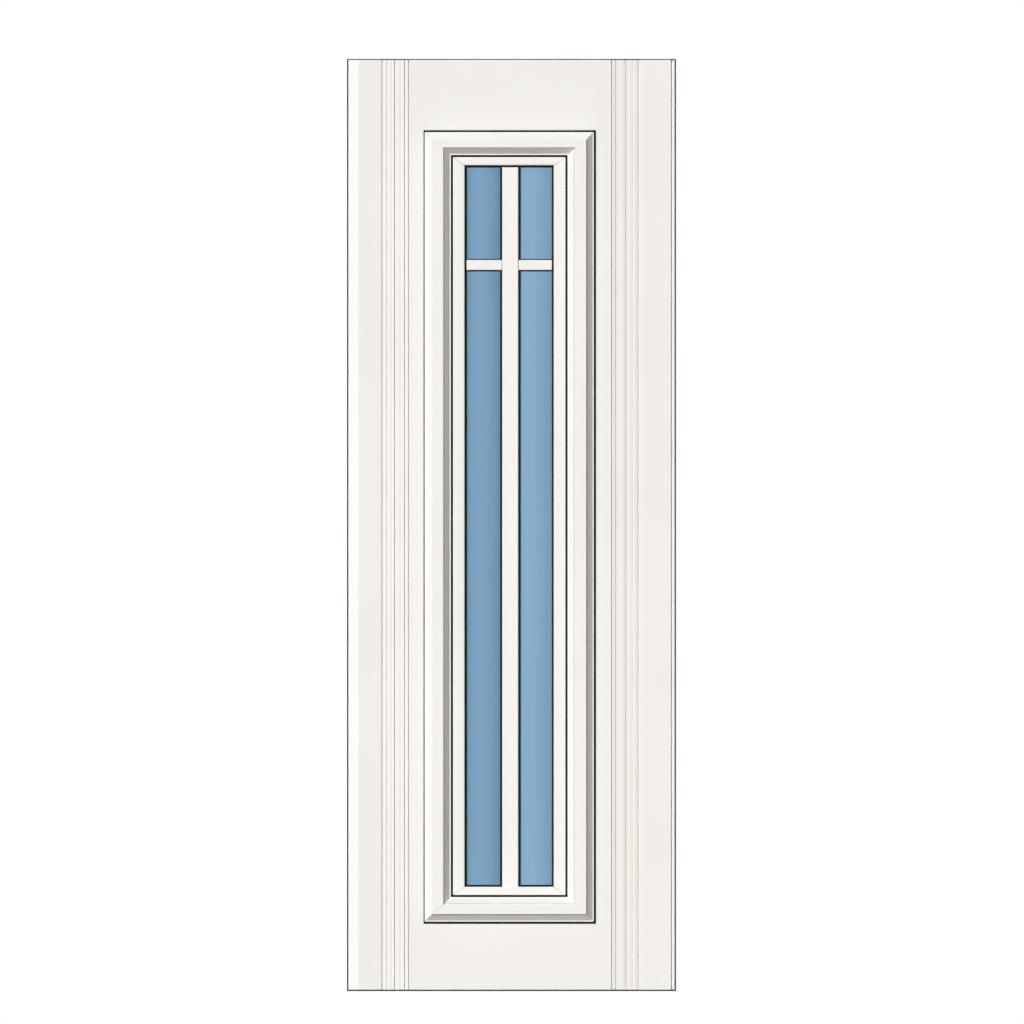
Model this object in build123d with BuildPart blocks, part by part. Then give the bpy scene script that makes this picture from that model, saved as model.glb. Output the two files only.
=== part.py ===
from build123d import *
import os

os.makedirs("parts", exist_ok=True)

# A glazed door leaf, seen from its front, which faces -Y. Millimetres, +Z up.
# The origin is on the hinge edge, halfway up and halfway through the leaf, so the leaf reaches to -X.

# Leaf, measured over its edge bands
leaf_width = 720
leaf_height = 2040
leaf_thickness = 40
edge_band_thickness = 3
top_band_thickness = 2

# Facings and what lies between them
skin_thickness = 6
stile_width = 60
lock_lipping_width = 23
lock_lipping_bevel = 5
hinge_lipping_width = 8
hinge_quirk_width = 3.8
hinge_quirk_depth = 6

# Reeded bands: distances are from the middle between them, out to both sides.
# Each groove has its distance and its depth. The shift is from the middle of the panel.
reed_shift_x = 1.8
grooves = ((222.2, 4.4), (231.0, 4.4), (252.8, 4.4), (269.2, 2.4), (280.2, 4.4))
step_places = (240.8, 260.5)
groove_width = 1.7
step_width = 0.8
crest_depth = 0.3
ramp_depth = 1.2
outer_fade_width = 10

# Glazed panel: the daylight opening inside the beads, and where its middle lies
sight_width = 195
sight_height = 1579
panel_shift_x = -5
panel_shift_z = -2.3

# Beads that hold the glass
bead_side_width = 25.5
bead_end_width = 17.8
bead_stand = 1
bead_arris = 1.5
bead_mitre_gap = 0.4

# Bolection moulding that covers the edge of the hole in the leaf
moulding_side_width = 57.4
moulding_top_width = 50
moulding_bottom_width = 53.8
moulding_height = 22
moulding_lip_width = 2.5
moulding_lip_height = 2.5
moulding_outer_bevel = 14
moulding_inner_bevel = 11.8
moulding_step = 3
moulding_quirk_width = 2.2
moulding_quirk_depth = 3
moulding_mitre_gap = 0.15

# Seals and gaskets
inner_seal_width = 4.7
inner_seal_drop = 1
moulding_gasket_thickness = 1.5
moulding_gasket_margin = 4.4
moulding_gasket_margin_left = 2.4
glazing_gasket_thickness = 2.5
glazing_gasket_margin = 4.4
mullion_gasket_margin = 4.8
bar_gasket_margin = 2.4

# Sealed glass unit
pane_thickness = 4
pane_gap = 12
glass_edge_cover = 10
spacer_inset = 2
spacer_width = 7
lining_clearance = 1

# Upright and short cross bars on the glass
mullion_width = 35
mullion_height = 5.5
mullion_shift = 2.3
mullion_top_gap = 4.4
bar_width = 22
bar_joint_gap = 1
bar_height = 3.5
bar_middle_z = 569
bar_arris = 1

# Planes worked out from the sizes above
half_height = leaf_height / 2
half_thickness = leaf_thickness / 2
slab_left = -leaf_width + edge_band_thickness
slab_right = -edge_band_thickness
slab_top = half_height - top_band_thickness
slab_bottom = -half_height + edge_band_thickness
skin_left = slab_left + lock_lipping_width
skin_right = slab_right - hinge_lipping_width
core_half = half_thickness - skin_thickness
lock_edge_half = half_thickness - lock_lipping_bevel
panel_x = -leaf_width / 2 + panel_shift_x
panel_z = panel_shift_z
mullion_x = panel_x + mullion_shift
reed_x = panel_x + reed_shift_x

# Heights above the middle of the leaf's thickness
glass_face = pane_gap / 2 + pane_thickness
bead_seat = glass_face + glazing_gasket_thickness
bead_face = half_thickness + bead_stand
moulding_seat = half_thickness + moulding_gasket_thickness


def grown(size, side, end):
    """A width and height grown by side at each side and by end at each end."""
    return size[0] + 2 * side, size[1] + 2 * end


sight = (sight_width, sight_height)
bead_outer = grown(sight, bead_side_width, bead_end_width)
hole = grown(bead_outer, inner_seal_width, inner_seal_width)
glass_size = grown(sight, glass_edge_cover, glass_edge_cover)
lining_inner = grown(glass_size, lining_clearance, lining_clearance)
spacer_outer = grown(glass_size, -spacer_inset, -spacer_inset)
spacer_inner = grown(spacer_outer, -spacer_width, -spacer_width)
gasket_inner = grown(sight, -glazing_gasket_margin, -glazing_gasket_margin)


def box_about_panel(size):
    """Left, bottom, right and top of a size laid about the panel's middle."""
    return panel_x - size[0] / 2, panel_z - size[1] / 2, panel_x + size[0] / 2, panel_z + size[1] / 2


hole_left, hole_bottom, hole_right, hole_top = box_about_panel(hole)
moulding_left = hole_left - moulding_side_width
moulding_bottom = hole_bottom - moulding_bottom_width
moulding_right = hole_right + moulding_side_width
moulding_top = hole_top + moulding_top_width


def save(piece, name):
    """Labels a finished piece and writes its file."""
    piece.part.label = name
    export_step(piece.part, f"parts/{name}.step")


def mirrored(piece):
    """The same piece on the other face of the leaf."""
    with BuildPart() as other:
        mirror(piece.part, about=Plane.XZ)
    return other


def save_both_faces(piece, name):
    """Writes a front piece and its twin on the back."""
    save(piece, f"front_{name}")
    save(mirrored(piece), f"back_{name}")


def block(x_range, y_range, z_range):
    """A plain block between two planes in each direction."""
    with BuildPart() as piece:
        with BuildSketch(Plane.XY.offset(z_range[0])):
            with Locations((sum(x_range) / 2, sum(y_range) / 2)):
                Rectangle(x_range[1] - x_range[0], y_range[1] - y_range[0])
        extrude(amount=z_range[1] - z_range[0])
    return piece


def upright(outline, z_range):
    """A plan outline carried straight up between two levels."""
    with BuildPart() as piece:
        with BuildSketch(Plane.XY.offset(z_range[0])):
            with BuildLine():
                Polyline(outline, close=True)
            make_face()
        extrude(amount=z_range[1] - z_range[0])
    return piece


def ring(outer, inner, near, far):
    """A flat ring about the panel's middle, from near to far in front of the leaf's middle."""
    with BuildPart() as piece:
        with BuildSketch(Plane.XZ.offset(near)):
            with Locations((panel_x, panel_z)):
                Rectangle(*outer)
                Rectangle(*inner, mode=Mode.SUBTRACT)
        extrude(amount=far - near)
    return piece


def reed_marks():
    """Every groove and step of a band, from the panel outward."""
    cuts = [(place, groove_width / 2, depth) for place, depth in grooves]
    steps = [(place, step_width / 2, 0) for place in step_places]
    return sorted(cuts + steps)


def band_outline():
    """Points across one reeded band: distance from the panel's middle and depth below the face."""
    points = []
    depth_before = 0
    for place, half, depth in reed_marks():
        points.append((place - half, depth_before))
        if depth:
            points.append((place - half, depth))
            points.append((place + half, depth))
        points.append((place + half, crest_depth))
        depth_before = ramp_depth
    last = points[-1][0]
    points.append((last + outer_fade_width, 0))
    return points


def skin_outline():
    """Plan outline of the front facing with a reeded band on each side of the panel."""
    band = [(distance, depth - half_thickness) for distance, depth in band_outline()]
    left = [(reed_x - distance, y) for distance, y in reversed(band)]
    right = [(reed_x + distance, y) for distance, y in band]
    start = [(skin_left, -core_half), (skin_left, -half_thickness)]
    end = [(skin_right, -half_thickness), (skin_right, -core_half)]
    return start + left + right + end


def make_skin():
    """Facing sheet with reeds in its face and the hole for the glazed panel."""
    with BuildPart() as piece:
        add(upright(skin_outline(), (slab_bottom, slab_top)).part)
        with BuildSketch(Plane.XZ):
            with Locations((panel_x, panel_z)):
                Rectangle(*hole)
        extrude(amount=leaf_thickness, mode=Mode.SUBTRACT)
    return piece


def make_frame():
    """Stiles, rails and the infill between them, all behind the facings."""
    core = (-core_half, core_half)
    slab = (slab_bottom, slab_top)
    stile_inner_left = skin_left + stile_width
    stile_inner_right = skin_right - stile_width
    between = (stile_inner_left, stile_inner_right)
    beside = (hole_bottom, hole_top)
    save(block((skin_left, stile_inner_left), core, slab), "lock_stile")
    save(block((stile_inner_right, skin_right), core, slab), "hinge_stile")
    save(block(between, core, (hole_top, slab_top)), "top_rail")
    save(block(between, core, (slab_bottom, hole_bottom)), "bottom_rail")
    save(block((stile_inner_left, hole_left), core, beside), "lock_side_core")
    save(block((hole_right, stile_inner_right), core, beside), "hinge_side_core")


def lock_lipping_outline():
    """Solid edge strip whose two faces slope back towards the lock edge."""
    return [
        (slab_left, -lock_edge_half),
        (skin_left, -half_thickness),
        (skin_left, half_thickness),
        (slab_left, lock_edge_half),
    ]


def hinge_lipping_outline():
    """Narrow edge strip with a quirk beside the facing, on both faces."""
    quirk_end = skin_right + hinge_quirk_width
    quirk_floor = half_thickness - hinge_quirk_depth
    return [
        (skin_right, -quirk_floor),
        (quirk_end, -quirk_floor),
        (quirk_end, -half_thickness),
        (slab_right, -half_thickness),
        (slab_right, half_thickness),
        (quirk_end, half_thickness),
        (quirk_end, quirk_floor),
        (skin_right, quirk_floor),
    ]


def end_band_outline():
    """Plan of the band that closes the leaf's top or bottom end."""
    return [
        (slab_left, -lock_edge_half),
        (skin_left, -half_thickness),
        (slab_right, -half_thickness),
        (slab_right, half_thickness),
        (skin_left, half_thickness),
        (slab_left, lock_edge_half),
    ]


def make_edges():
    """Lippings and the slim dark bands round the leaf's edge."""
    slab = (slab_bottom, slab_top)
    full = (-half_height, half_height)
    save(upright(lock_lipping_outline(), slab), "lock_edge_lipping")
    save(upright(hinge_lipping_outline(), slab), "hinge_edge_lipping")
    save(block((-leaf_width, slab_left), (-lock_edge_half, lock_edge_half), full), "lock_edge_band")
    save(block((slab_right, 0), (-half_thickness, half_thickness), full), "hinge_edge_band")
    save(upright(end_band_outline(), (slab_top, half_height)), "top_edge_band")
    save(upright(end_band_outline(), (-half_height, slab_bottom)), "bottom_edge_band")


def corner_of(box, way_x, way_z):
    """The corner of a box on that side and at that end."""
    left, bottom, right, top = box
    return right if way_x > 0 else left, top if way_z > 0 else bottom


def mitre(boxes, insets, way_x, way_z):
    """One mitre from the outer corner to the inner: square across each inset, straight between them."""
    outer_x, outer_z = corner_of(boxes[0], way_x, way_z)
    inner_x, inner_z = corner_of(boxes[1], way_x, way_z)
    points = [
        (outer_x, outer_z),
        (outer_x - way_x * insets[0], outer_z - way_z * insets[0]),
        (inner_x + way_x * insets[1], inner_z + way_z * insets[1]),
        (inner_x, inner_z),
    ]
    return list(dict.fromkeys(points))


def mitred_outline(side, boxes, insets, gap):
    """Front view of one member between its two mitres, each held back by the gap."""
    if side in ("left", "right"):
        way = -1 if side == "left" else 1
        foot = [(x, z + gap) for x, z in mitre(boxes, insets, way, -1)]
        head = [(x, z - gap) for x, z in mitre(boxes, insets, way, 1)]
        return foot + head[::-1]
    way = -1 if side == "bottom" else 1
    start = [(x + gap, z) for x, z in mitre(boxes, insets, -1, way)]
    end = [(x - gap, z) for x, z in mitre(boxes, insets, 1, way)]
    return start + end[::-1]


def member(side, section, outline, outer):
    """A mitred member. Its section gives distance in from the outer edge and height in front."""
    left, bottom, right, top = outer
    if side in ("left", "right"):
        edge, way = (left, 1) if side == "left" else (right, -1)
        profile = [(edge + way * inward, -height) for inward, height in section]
        plane = Plane.XY.offset(bottom)
        length = top - bottom
    else:
        edge, way = (bottom, 1) if side == "bottom" else (top, -1)
        profile = [(-height, edge + way * inward) for inward, height in section]
        plane = Plane.YZ.offset(left)
        length = right - left
    with BuildPart() as piece:
        with BuildSketch(plane):
            with BuildLine():
                Polyline(profile, close=True)
            make_face()
        extrude(amount=length)
        with BuildSketch(Plane.XZ):
            with BuildLine():
                Polyline(outline, close=True)
            make_face()
        extrude(amount=leaf_thickness * 2, mode=Mode.INTERSECT)
    return piece


def moulding_section(width):
    """Raised field, stepped down on each side to a bevel and a lip, with a quirk on the inner side."""
    lip = moulding_seat + moulding_lip_height
    field = moulding_seat + moulding_height
    bevel_top = field - moulding_step
    quirk_floor = bevel_top - moulding_quirk_depth
    outer_foot = moulding_lip_width + moulding_outer_bevel
    inner_foot = width - moulding_lip_width - moulding_inner_bevel
    field_end = inner_foot - moulding_quirk_width
    return [
        (0, moulding_seat),
        (0, lip),
        (moulding_lip_width, lip),
        (outer_foot, bevel_top),
        (outer_foot, field),
        (field_end, field),
        (field_end, quirk_floor),
        (inner_foot, quirk_floor),
        (inner_foot, bevel_top),
        (width - moulding_lip_width, lip),
        (width, lip),
        (width, moulding_seat),
    ]


def bead_section(width):
    """Flat bead with a small bevel at its inner arris."""
    return [
        (0, bead_seat),
        (0, bead_face),
        (width - bead_arris, bead_face),
        (width, bead_face - bead_arris),
        (width, bead_seat),
    ]


def make_mouldings():
    """Four mitred members of the raised moulding on both faces."""
    boxes = ((moulding_left, moulding_bottom, moulding_right, moulding_top), box_about_panel(hole))
    outer_inset = moulding_lip_width + moulding_outer_bevel
    inner_inset = moulding_lip_width + moulding_inner_bevel + moulding_quirk_width
    widths = {
        "left": moulding_side_width,
        "right": moulding_side_width,
        "top": moulding_top_width,
        "bottom": moulding_bottom_width,
    }
    for side, width in widths.items():
        outline = mitred_outline(side, boxes, (outer_inset, inner_inset), moulding_mitre_gap)
        save_both_faces(member(side, moulding_section(width), outline, boxes[0]), f"{side}_moulding")


def make_beads():
    """Four mitred beads that hold the glass on both faces."""
    boxes = (box_about_panel(bead_outer), box_about_panel(sight))
    widths = {
        "left": bead_side_width,
        "right": bead_side_width,
        "top": bead_end_width,
        "bottom": bead_end_width,
    }
    for side, width in widths.items():
        outline = mitred_outline(side, boxes, (0, 0), bead_mitre_gap)
        save_both_faces(member(side, bead_section(width), outline, boxes[0]), f"{side}_bead")


def make_linings():
    """Linings of the hole, in pairs, that carry the beads beside the glass unit."""
    side_width = (hole[0] - lining_inner[0]) / 2
    end_height = (hole[1] - lining_inner[1]) / 2
    with BuildPart() as sides:
        with BuildSketch(Plane.XY.offset(hole_bottom)):
            with Locations((hole_left + side_width / 2, 0), (hole_right - side_width / 2, 0)):
                Rectangle(side_width, 2 * bead_seat)
        extrude(amount=hole[1])
    save(sides, "side_linings")
    with BuildPart() as ends:
        with BuildSketch(Plane.XZ.offset(-bead_seat)):
            with Locations((panel_x, hole_bottom + end_height / 2), (panel_x, hole_top - end_height / 2)):
                Rectangle(lining_inner[0], end_height)
        extrude(amount=2 * bead_seat)
    save(ends, "end_linings")


def make_glass_unit():
    """Two panes held apart by a spacer."""
    with BuildPart() as pane:
        with BuildSketch(Plane.XZ.offset(pane_gap / 2)):
            with Locations((panel_x, panel_z)):
                Rectangle(*glass_size)
        extrude(amount=pane_thickness)
    save_both_faces(pane, "glass_pane")
    save(ring(spacer_outer, spacer_inner, -pane_gap / 2, pane_gap / 2), "glass_spacer")


def bar_spans():
    """Left and right ends of the two short cross bars."""
    edge = sight_width / 2 - glazing_gasket_margin
    middle = mullion_width / 2 + bar_joint_gap
    return [(panel_x - edge, mullion_x - middle), (mullion_x + middle, panel_x + edge)]


def make_glazing_bars():
    """Upright bar and a pair of short cross bars, bedded on their gasket."""
    foot = panel_z - sight_height / 2
    head = panel_z + sight_height / 2 - mullion_top_gap
    with BuildPart() as mullion:
        with BuildSketch(Plane.XZ.offset(bead_seat)):
            with Locations((mullion_x, (foot + head) / 2)):
                Rectangle(mullion_width, head - foot)
        extrude(amount=mullion_height)
        face = mullion.faces().sort_by(Axis.Y)[0]
        chamfer(face.edges().filter_by(Axis.Z), length=bar_arris)
    save_both_faces(mullion, "mullion")
    with BuildPart() as bars:
        with BuildSketch(Plane.XZ.offset(bead_seat)):
            for start, end in bar_spans():
                with Locations(((start + end) / 2, bar_middle_z)):
                    Rectangle(end - start, bar_width)
        extrude(amount=bar_height)
        faces = bars.faces().filter_by(Axis.Y).group_by(Axis.Y)[0]
        chamfer(faces.edges().filter_by(Axis.X), length=bar_arris)
    save_both_faces(bars, "cross_bars")


def make_gaskets():
    """Black seals under the moulding, round the beads and on the glass."""
    seal = ring(hole, bead_outer, bead_seat, bead_face - inner_seal_drop)
    save_both_faces(seal, "inner_seal")
    left = moulding_left - moulding_gasket_margin_left
    right = moulding_right + moulding_gasket_margin
    bottom = moulding_bottom - moulding_gasket_margin
    top = moulding_top + moulding_gasket_margin
    with BuildPart() as under_moulding:
        with BuildSketch(Plane.XZ.offset(half_thickness)):
            with Locations(((left + right) / 2, (bottom + top) / 2)):
                Rectangle(right - left, top - bottom)
            with Locations((panel_x, panel_z)):
                Rectangle(*hole, mode=Mode.SUBTRACT)
        extrude(amount=moulding_gasket_thickness)
    save_both_faces(under_moulding, "moulding_gasket")
    with BuildPart() as on_glass:
        with BuildSketch(Plane.XZ.offset(glass_face)):
            with Locations((panel_x, panel_z)):
                Rectangle(*glass_size)
                Rectangle(*gasket_inner, mode=Mode.SUBTRACT)
            with Locations((mullion_x, panel_z)):
                Rectangle(mullion_width + 2 * mullion_gasket_margin, gasket_inner[1])
            with Locations((panel_x, bar_middle_z)):
                Rectangle(gasket_inner[0], bar_width + 2 * bar_gasket_margin)
        extrude(amount=glazing_gasket_thickness)
    save_both_faces(on_glass, "glazing_gasket")


save_both_faces(make_skin(), "skin")
make_frame()
make_edges()
make_mouldings()
make_beads()
make_linings()
make_glass_unit()
make_glazing_bars()
make_gaskets()
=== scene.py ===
"""Looks of a white glazed door leaf with reeded bands, a raised moulding and a narrow blue light."""

import math

import bpy
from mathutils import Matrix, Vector


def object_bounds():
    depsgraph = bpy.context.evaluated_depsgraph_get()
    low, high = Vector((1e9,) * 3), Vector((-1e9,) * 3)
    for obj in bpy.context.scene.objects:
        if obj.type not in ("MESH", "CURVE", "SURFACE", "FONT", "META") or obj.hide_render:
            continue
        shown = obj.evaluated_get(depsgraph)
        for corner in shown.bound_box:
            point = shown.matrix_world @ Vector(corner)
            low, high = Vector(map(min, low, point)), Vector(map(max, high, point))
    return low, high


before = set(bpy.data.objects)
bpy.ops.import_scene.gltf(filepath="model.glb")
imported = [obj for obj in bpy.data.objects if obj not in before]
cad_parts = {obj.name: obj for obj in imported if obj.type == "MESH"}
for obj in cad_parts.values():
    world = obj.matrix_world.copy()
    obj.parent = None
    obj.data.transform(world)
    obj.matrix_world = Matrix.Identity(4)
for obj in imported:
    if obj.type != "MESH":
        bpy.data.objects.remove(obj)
cad_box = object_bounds()

# The photograph's frame: the leaf fills these pixels of a square picture, seen square on.
PICTURE_SIDE = 1024
LEAF_PIXELS_WIDE = 329
LEAF_MIDDLE_PIXEL = (511.5, 525.0)
CAMERA_DISTANCE = 4.0
SQUARE_ON = (math.radians(90), 0, 0)

# Light: key from the upper left, its twin from behind, and an even fill from all round.
# A level of 1 shows a white face that looks straight at the lamp as white.
KEY_DIRECTION = (-0.42, -0.85, 0.35)
BACK_DIRECTION = (0.42, 0.85, 0.35)
LAMP_LEVEL = 1.09
LAMP_SOFTNESS = math.radians(14)
FILL_LIGHT = (0.048, 0.040, 0.026)
GROUND_WHITE = (1.0, 1.0, 1.0)

# Floor: its tones to the eye, and the dark tone that decides how much light it throws back.
FLOOR_LIGHT = (0.80, 0.79, 0.77)
FLOOR_SHADE = (0.76, 0.75, 0.73)
FLOOR_BOUNCE = (0.095, 0.080, 0.055)
FLOOR_ROUGHNESS = 0.9

# The floor's glow near the leaf and far from it, the distances between which it grows,
# and how far the floor reaches each way, in metres.
FLOOR_GLOW = (0.2, 0.45)
FLOOR_FADE = (3.0, 11.5)
FLOOR_REACH = 12.0

# Paint, glass and the rest, as linear colours.
FACING_PAINT = (0.868, 0.853, 0.824)
FACING_SHADE = (0.850, 0.834, 0.804)
TRIM_PAINT = (0.884, 0.869, 0.841)
TRIM_SHADE = (0.866, 0.850, 0.821)
MULLION_PAINT = (0.907, 0.895, 0.868)
MULLION_SHADE = (0.890, 0.877, 0.850)
LIPPING_PAINT = (0.896, 0.892, 0.874)
LIPPING_SHADE = (0.876, 0.870, 0.851)
GLASS_LIGHT = (0.318, 0.554, 0.782)
GLASS_DEEP = (0.160, 0.350, 0.554)
RUBBER = (0.003, 0.003, 0.0035)
EDGE_BAND = (0.005, 0.0055, 0.007)
SPACER = (0.52, 0.53, 0.54)
TIMBER_LIGHT = (0.62, 0.45, 0.27)
TIMBER_DARK = (0.42, 0.27, 0.14)
FOAM_LIGHT = (0.86, 0.80, 0.62)
FOAM_DARK = (0.76, 0.69, 0.50)

# Painted highlight on the crests of the rubber's grain, and colour in the metal's grooves, against the
# plain one.
RUBBER_CREST_HIGHLIGHT = 2.2
SPACER_GROOVE = 0.8

# Painted shade and reflection across the panes, from the left bead to the right one: the blue deepens
# beside the beads and left of the mullion and lightens right of it. Each stop is a share of the way and a
# lightness from deep to light.
GLASS_PAINTED_SHADE = (
    (0.02, 0.25), (0.08, 0.52), (0.16, 0.70), (0.26, 0.52), (0.34, 0.25), (0.39, 0.02),
    (0.62, 1.0), (0.76, 1.0), (0.86, 0.72), (0.97, 0.42),
)
# How far the painted shade sways to each side, as a share of the way, and how much a streak lightens or
# darkens the blue.
GLASS_SWAY = 0.03
GLASS_STREAK = 0.08

# Roughness where a finish's noise is low and where it is high, and the strength of its highlights.
PAINT_ROUGHNESS = (0.40, 0.58)
RUBBER_ROUGHNESS = (0.55, 0.8)
SPACER_ROUGHNESS = (0.3, 0.5)
CORE_ROUGHNESS = (0.6, 0.85)
PAINT_SPECULAR = 0.15
RUBBER_SPECULAR = 0.2

# Glass: roughness, refraction and how much light goes through.
GLASS_ROUGHNESS = 0.08
GLASS_IOR = 1.45
GLASS_CLEARNESS = 0.35

# Noises: waves to a metre where nothing stretches them, detail and, where it isn't a half, roughness.
PAINT_DRIFT = (3.5, 2.0)
BRUSH_LINES = (260.0, 2.0)
ORANGE_PEEL = (900.0, 1.5)
SHADE_SWAY = (26.0, 3.0)
PANE_STREAKS = (300.0, 2.0)
PANE_RIPPLE = (18.0, 1.0)
RUBBER_GRAIN = (1400.0, 2.0)
DRAWN_LINES = (1500.0, 2.0)
TIMBER_FIGURE = (90.0, 5.0, 0.6)
FOAM_CELLS = (500.0, 5.0, 0.6)
FLOOR_MOTTLE = (2.0, 3.0)

# A noise's values bunch round a half, so a colour runs from its dark to its light between these.
NOISE_LOW = 0.35
NOISE_HIGH = 0.65

# Scales of a texture along x, y and z: a small one draws it out that way.
UPRIGHT_GRAIN = (1.0, 1.0, 0.02)
LEVEL_GRAIN = (0.02, 1.0, 1.0)
EVEN_GRAIN = (1.0, 1.0, 1.0)
SWAY_GRAIN = (1.0, 1.0, 0.12)
STREAK_GRAIN = (1.0, 1.0, 0.01)
RIPPLE_GRAIN = (1.0, 1.0, 0.25)

# Heights of the bumps, in metres.
BRUSH_HEIGHT = 0.00004
PEEL_HEIGHT = 0.00003
RIPPLE_HEIGHT = 0.0002
RUBBER_HEIGHT = 0.00005
CORE_HEIGHT = 0.0002

# Words that name a painted piece, the round on its arrises in metres, how far two faces have to turn
# to make an arris, and how near two corners count as one.
PAINTED = ("moulding", "bead", "mullion", "cross_bars", "lipping", "skin")
ARRIS = 0.0004
ARRIS_SEGMENTS = 3
SHARP_CORNER = math.radians(30)
SAME_CORNER = 0.00001


def material(name):
    """A new node material with its node tree, shader and a texture position in metres."""
    made = bpy.data.materials.new(name)
    made.use_nodes = True
    nodes = made.node_tree.nodes
    shader = nodes["Principled BSDF"]
    place = nodes.new("ShaderNodeTexCoord").outputs["Object"]
    return made, made.node_tree, shader, place


def stretched(tree, place, scale):
    """The texture position with its own scale along each axis."""
    mapping = tree.nodes.new("ShaderNodeMapping")
    mapping.inputs["Scale"].default_value = scale
    tree.links.new(place, mapping.inputs["Vector"])
    return mapping.outputs["Vector"]


def noise(tree, place, scale, detail, roughness=0.5):
    """A noise texture's value at that position."""
    texture = tree.nodes.new("ShaderNodeTexNoise")
    texture.inputs["Scale"].default_value = scale
    texture.inputs["Detail"].default_value = detail
    texture.inputs["Roughness"].default_value = roughness
    tree.links.new(place, texture.inputs["Vector"])
    return texture.outputs["Fac"]


def ramp(tree, value, low, high):
    """A colour between low and high that follows a noise's value."""
    node = tree.nodes.new("ShaderNodeValToRGB")
    first, last = node.color_ramp.elements
    first.position, last.position = NOISE_LOW, NOISE_HIGH
    first.color = (*low, 1.0)
    last.color = (*high, 1.0)
    tree.links.new(value, node.inputs["Fac"])
    return node.outputs["Color"]


def spread(tree, value, low, high, start=0.0, end=1.0):
    """The value carried from start..end to low..high."""
    node = tree.nodes.new("ShaderNodeMapRange")
    node.inputs["From Min"].default_value = start
    node.inputs["From Max"].default_value = end
    node.inputs["To Min"].default_value = low
    node.inputs["To Max"].default_value = high
    tree.links.new(value, node.inputs["Value"])
    return node.outputs["Result"]


def bumped(tree, shader, heights):
    """Bumps the surface by each height map: (value, distance in metres)."""
    normal = None
    for value, distance in heights:
        bump = tree.nodes.new("ShaderNodeBump")
        bump.inputs["Distance"].default_value = distance
        tree.links.new(value, bump.inputs["Height"])
        if normal is not None:
            tree.links.new(normal, bump.inputs["Normal"])
        normal = bump.outputs["Normal"]
    tree.links.new(normal, shader.inputs["Normal"])


def paint(name, light, shade, grain):
    """Satin white paint: faint tone drift, fine orange peel and laying-off lines along the grain."""
    made, tree, shader, place = material(name)
    drift = noise(tree, place, *PAINT_DRIFT)
    tree.links.new(ramp(tree, drift, shade, light), shader.inputs["Base Color"])
    lines = noise(tree, stretched(tree, place, grain), *BRUSH_LINES)
    peel = noise(tree, place, *ORANGE_PEEL)
    tree.links.new(spread(tree, lines, *PAINT_ROUGHNESS), shader.inputs["Roughness"])
    bumped(tree, shader, [(lines, BRUSH_HEIGHT), (peel, PEEL_HEIGHT)])
    shader.inputs["Specular IOR Level"].default_value = PAINT_SPECULAR
    return made


def glass_span():
    """Where the daylight opening starts and ends, from the beads on either side of it."""
    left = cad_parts["front_left_bead"].bound_box
    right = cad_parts["front_right_bead"].bound_box
    return max(corner[0] for corner in left), min(corner[0] for corner in right)


def share_across(tree, place, span):
    """How far across the span a point lies, as 0 to 1, with a slow upright sway."""
    axes = tree.nodes.new("ShaderNodeSeparateXYZ")
    tree.links.new(place, axes.inputs["Vector"])
    share = spread(tree, axes.outputs["X"], 0.0, 1.0, *span)
    drift = noise(tree, stretched(tree, place, SWAY_GRAIN), *SHADE_SWAY)
    swayed = tree.nodes.new("ShaderNodeMath")
    tree.links.new(share, swayed.inputs[0])
    tree.links.new(spread(tree, drift, -GLASS_SWAY, GLASS_SWAY), swayed.inputs[1])
    return swayed.outputs["Value"]


def painted_shade_ramp(tree, value, stops, deep, light):
    """A colour between deep and light that follows the stops as the value rises."""
    node = tree.nodes.new("ShaderNodeValToRGB")
    elements = node.color_ramp.elements
    # A new stop starts midway and then moves to its own place.
    while len(elements) < len(stops):
        elements.new(0.5)
    for element, (position, lightness) in zip(elements, stops):
        element.position = position
        element.color = (*(d + lightness * (l - d) for d, l in zip(deep, light)), 1.0)
    tree.links.new(value, node.inputs["Fac"])
    return node.outputs["Color"]


def streaked(tree, place, colour):
    """The colour with fine upright streaks, a little lighter and darker than it."""
    streaks = noise(tree, stretched(tree, place, STREAK_GRAIN), *PANE_STREAKS)
    node = tree.nodes.new("ShaderNodeHueSaturation")
    tree.links.new(colour, node.inputs["Color"])
    tree.links.new(spread(tree, streaks, 1.0 - GLASS_STREAK, 1.0 + GLASS_STREAK), node.inputs["Value"])
    return node.outputs["Color"]


def glass(name):
    """Mid-blue glass with painted shade and reflection: deeper beside the beads, deepest left of the
    mullion and lightest right of it.
    """
    made, tree, shader, place = material(name)
    # Painted shade and reflection: the blue runs deeper beside the beads and left of the mullion, lighter
    # right of it.
    across = share_across(tree, place, glass_span())
    blue = painted_shade_ramp(tree, across, GLASS_PAINTED_SHADE, GLASS_DEEP, GLASS_LIGHT)
    tree.links.new(streaked(tree, place, blue), shader.inputs["Base Color"])
    ripple = noise(tree, stretched(tree, place, RIPPLE_GRAIN), *PANE_RIPPLE)
    bumped(tree, shader, [(ripple, RIPPLE_HEIGHT)])
    shader.inputs["Roughness"].default_value = GLASS_ROUGHNESS
    shader.inputs["IOR"].default_value = GLASS_IOR
    shader.inputs["Transmission Weight"].default_value = GLASS_CLEARNESS
    return made


def rubber(name, colour):
    """Matt black seal or edge band with a fine moulded grain, its crests lighter as a painted highlight.
    """
    made, tree, shader, place = material(name)
    grain = noise(tree, place, *RUBBER_GRAIN)
    # Painted highlight: the grain's crests are drawn lighter than the plain black.
    crest_highlight = tuple(RUBBER_CREST_HIGHLIGHT * c for c in colour)
    tree.links.new(ramp(tree, grain, colour, crest_highlight), shader.inputs["Base Color"])
    tree.links.new(spread(tree, grain, *RUBBER_ROUGHNESS), shader.inputs["Roughness"])
    bumped(tree, shader, [(grain, RUBBER_HEIGHT)])
    shader.inputs["Specular IOR Level"].default_value = RUBBER_SPECULAR
    return made


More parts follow.
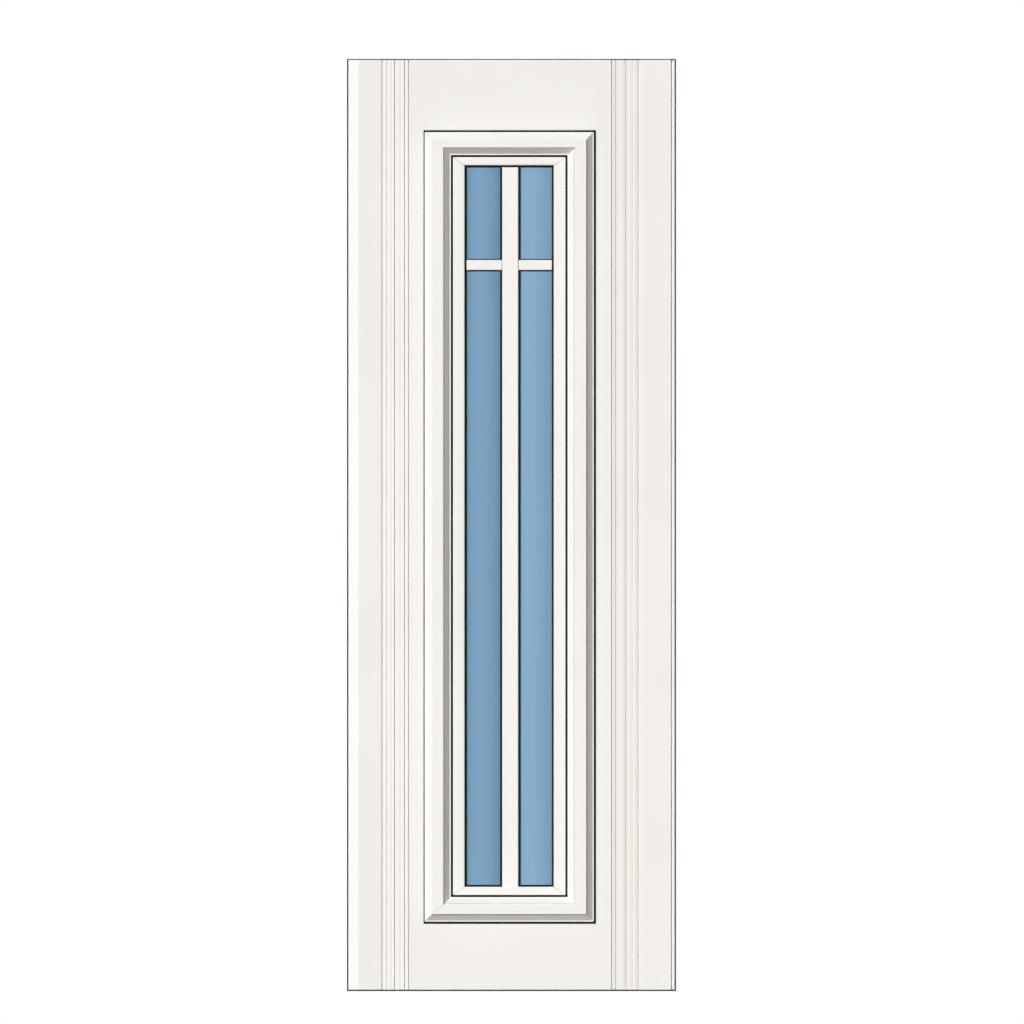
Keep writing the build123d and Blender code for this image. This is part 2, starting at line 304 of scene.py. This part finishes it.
def spacer_metal(name):
    """Mill-finish aluminium with fine drawn lines."""
    made, tree, shader, place = material(name)
    lines = noise(tree, stretched(tree, place, UPRIGHT_GRAIN), *DRAWN_LINES)
    groove = tuple(SPACER_GROOVE * c for c in SPACER)
    tree.links.new(ramp(tree, lines, groove, SPACER), shader.inputs["Base Color"])
    tree.links.new(spread(tree, lines, *SPACER_ROUGHNESS), shader.inputs["Roughness"])
    shader.inputs["Metallic"].default_value = 1.0
    return made


def mottled(name, light, dark, grain, waves):
    """Bare core stuff: timber where the grain is stretched, foam where it isn't."""
    made, tree, shader, place = material(name)
    figure = noise(tree, stretched(tree, place, grain), *waves)
    tree.links.new(ramp(tree, figure, dark, light), shader.inputs["Base Color"])
    tree.links.new(spread(tree, figure, *CORE_ROUGHNESS), shader.inputs["Roughness"])
    bumped(tree, shader, [(figure, CORE_HEIGHT)])
    return made


def make_finishes():
    """Every finish after the words that call for it in a node's name. The first that fits is taken."""
    facing = paint("facing_paint", FACING_PAINT, FACING_SHADE, UPRIGHT_GRAIN)
    lipping = paint("lipping_paint", LIPPING_PAINT, LIPPING_SHADE, UPRIGHT_GRAIN)
    upright_trim = paint("upright_trim_paint", TRIM_PAINT, TRIM_SHADE, UPRIGHT_GRAIN)
    mullion = paint("mullion_paint", MULLION_PAINT, MULLION_SHADE, UPRIGHT_GRAIN)
    level_trim = paint("level_trim_paint", TRIM_PAINT, TRIM_SHADE, LEVEL_GRAIN)
    seal = rubber("black_rubber", RUBBER)
    edge_band = rubber("edge_band_black", EDGE_BAND)
    blue_glass = glass("blue_glass")
    spacer = spacer_metal("spacer_metal")
    foam = mottled("core_foam", FOAM_LIGHT, FOAM_DARK, EVEN_GRAIN, FOAM_CELLS)
    timber = mottled("core_timber", TIMBER_LIGHT, TIMBER_DARK, UPRIGHT_GRAIN, TIMBER_FIGURE)
    return (
        (("gasket", "seal"), seal),
        (("edge_band",), edge_band),
        (("glass_pane",), blue_glass),
        (("spacer",), spacer),
        (("side_core",), foam),
        (("stile", "rail", "linings"), timber),
        (("lipping",), lipping),
        (("bead",), facing),
        (("top_", "bottom_", "cross_bars"), level_trim),
        (("mullion",), mullion),
        (("left_", "right_"), upright_trim),
        (("skin",), facing),
    )


def dress():
    """Gives every CAD node its finish, by what the node's name says it is."""
    finishes = make_finishes()
    for name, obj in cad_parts.items():
        finish = next(made for words, made in finishes if any(word in name for word in words))
        obj.data.materials.clear()
        obj.data.materials.append(finish)


def is_painted(name):
    """Whether that node is painted wood, which a moulding's gasket isn't."""
    return "gasket" not in name and any(word in name for word in PAINTED)


def round_arrises():
    """Softens the sharp arrises of the painted pieces so that they catch a line of light."""
    for name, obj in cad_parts.items():
        if not is_painted(name):
            continue
        obj.modifiers.new("joined_faces", "WELD").merge_threshold = SAME_CORNER
        bevel = obj.modifiers.new("arris", "BEVEL")
        bevel.width = ARRIS
        bevel.segments = ARRIS_SEGMENTS
        bevel.limit_method = "ANGLE"
        bevel.angle_limit = SHARP_CORNER


def seen_directly(tree):
    """1 for camera, mirror and see-through rays, 0 for the light that falls on things."""
    rays = tree.nodes.new("ShaderNodeLightPath")
    total = rays.outputs["Is Camera Ray"]
    for name in ("Is Glossy Ray", "Is Transmission Ray"):
        either = tree.nodes.new("ShaderNodeMath")
        either.operation = "MAXIMUM"
        tree.links.new(total, either.inputs[0])
        tree.links.new(rays.outputs[name], either.inputs[1])
        total = either.outputs["Value"]
    return total


def by_sight(tree, cast, seen):
    """One colour for the light that falls on things, and another where the eye meets it."""
    colour = tree.nodes.new("ShaderNodeMix")
    colour.data_type = "RGBA"
    tree.links.new(seen_directly(tree), colour.inputs["Factor"])
    for socket, value in (("A", cast), ("B", seen)):
        if isinstance(value, tuple):
            colour.inputs[socket].default_value = (*value, 1.0)
        else:
            tree.links.new(value, colour.inputs[socket])
    return colour.outputs["Result"]


def light_world():
    """White ground behind the leaf, which sheds a dim, warm and even fill light."""
    world = bpy.data.worlds.new("studio")
    bpy.context.scene.world = world
    world.use_nodes = True
    tree = world.node_tree
    tree.links.new(by_sight(tree, FILL_LIGHT, GROUND_WHITE), tree.nodes["Background"].inputs["Color"])


def sun(name, direction):
    """A soft sun lamp that shines from that direction."""
    lamp = bpy.data.lights.new(name, "SUN")
    lamp.energy = LAMP_LEVEL * math.pi
    lamp.angle = LAMP_SOFTNESS
    placed = bpy.data.objects.new(name, lamp)
    placed.rotation_euler = Vector(direction).to_track_quat("Z", "Y").to_euler()
    bpy.context.scene.collection.objects.link(placed)


def floor_glow(tree, place):
    """Glow of the floor to the eye alone, stronger away from the leaf, so that the floor ends in white."""
    away = tree.nodes.new("ShaderNodeVectorMath")
    away.operation = "LENGTH"
    tree.links.new(place, away.inputs[0])
    glow = tree.nodes.new("ShaderNodeMath")
    glow.operation = "MULTIPLY"
    tree.links.new(spread(tree, away.outputs["Value"], *FLOOR_GLOW, *FLOOR_FADE), glow.inputs[0])
    tree.links.new(seen_directly(tree), glow.inputs[1])
    return glow.outputs["Value"]


def floor_finish():
    """Pale, faintly mottled matt floor, which throws little light back up at the leaf."""
    made, tree, shader, place = material("floor_pale")
    pale = ramp(tree, noise(tree, place, *FLOOR_MOTTLE), FLOOR_SHADE, FLOOR_LIGHT)
    tree.links.new(by_sight(tree, FLOOR_BOUNCE, pale), shader.inputs["Base Color"])
    shader.inputs["Roughness"].default_value = FLOOR_ROUGHNESS
    shader.inputs["Emission Color"].default_value = (*GROUND_WHITE, 1.0)
    tree.links.new(floor_glow(tree, place), shader.inputs["Emission Strength"])
    return made


def lay_floor():
    """Plain square floor at the leaf's foot."""
    low, high = cad_box
    middle = (Vector(low) + Vector(high)) / 2
    corners = [(-1, -1), (1, -1), (1, 1), (-1, 1)]
    points = [(middle.x + x * FLOOR_REACH, y * FLOOR_REACH, low[2]) for x, y in corners]
    mesh = bpy.data.meshes.new("floor")
    mesh.from_pydata(points, [], [(0, 1, 2, 3)])
    mesh.materials.append(floor_finish())
    floor = bpy.data.objects.new("floor", mesh)
    bpy.context.scene.collection.objects.link(floor)


def set_camera():
    """Square-on camera that frames the leaf as the photograph does."""
    low, high = Vector(cad_box[0]), Vector(cad_box[1])
    pixel = (high.x - low.x) / LEAF_PIXELS_WIDE
    middle = (low + high) / 2
    camera_data = bpy.data.cameras.new("camera")
    camera_data.type = "ORTHO"
    camera_data.ortho_scale = PICTURE_SIDE * pixel
    camera = bpy.data.objects.new("camera", camera_data)
    aim_x = middle.x + (PICTURE_SIDE / 2 - LEAF_MIDDLE_PIXEL[0]) * pixel
    aim_z = middle.z + (LEAF_MIDDLE_PIXEL[1] - PICTURE_SIDE / 2) * pixel
    camera.location = (aim_x, -CAMERA_DISTANCE, aim_z)
    camera.rotation_euler = SQUARE_ON
    bpy.context.scene.collection.objects.link(camera)
    bpy.context.scene.camera = camera


dress()
round_arrises()
light_world()
sun("key", KEY_DIRECTION)
sun("back", BACK_DIRECTION)
lay_floor()
set_camera()
bpy.context.scene.view_settings.view_transform = "Standard"
